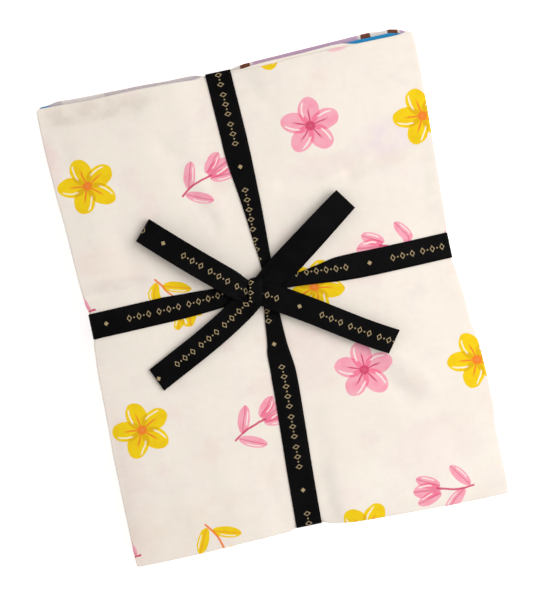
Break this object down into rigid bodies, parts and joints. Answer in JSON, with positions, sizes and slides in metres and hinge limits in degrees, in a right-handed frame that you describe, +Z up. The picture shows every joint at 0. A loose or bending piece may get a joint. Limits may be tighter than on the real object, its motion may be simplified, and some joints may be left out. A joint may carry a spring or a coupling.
{
  "type": "fat quarter bundle",
  "caption": "Stack of folded quilting cotton quarters for patchwork, tied lengthwise and across with a black ribbon and a bow on top.",
  "frame": {"origin": "centre of the bundle's footprint, on the surface it rests on", "axes": "+Z up through the stack, +Y along the fold's long side towards the far end, +X across it, to the right as the picture shows it"},
  "size_m": [0.233, 0.2888, 0.0531],
  "materials": {
    "teal_cotton": "plain woven quilting cotton",
    "orange_cotton": "plain woven quilting cotton",
    "red_cotton": "plain woven quilting cotton",
    "yellow_cotton": "plain woven quilting cotton",
    "pink_cotton": "plain woven quilting cotton",
    "lavender_cotton": "plain woven quilting cotton",
    "blue_cotton": "plain woven quilting cotton",
    "cream_print_cotton": "plain woven quilting cotton, printed with tossed motifs on cream",
    "black_ribbon": "black taffeta ribbon with a soft sheen and small gold marks along its middle"
  },
  "bodies": {
    "root": {"fat_quarter_1": "teal_cotton", "fat_quarter_2": "orange_cotton", "fat_quarter_3": "red_cotton", "fat_quarter_4": "yellow_cotton", "fat_quarter_5": "pink_cotton", "fat_quarter_6": "lavender_cotton", "fat_quarter_7": "blue_cotton", "fat_quarter_8": "cream_print_cotton", "ribbon_lengthwise": "black_ribbon", "ribbon_crosswise": "black_ribbon", "ribbon_knot": "black_ribbon", "bow_loop_left": "black_ribbon", "bow_loop_right": "black_ribbon", "ribbon_tail_left": "black_ribbon", "ribbon_tail_right": "black_ribbon"}
  },
  "joints": []
}
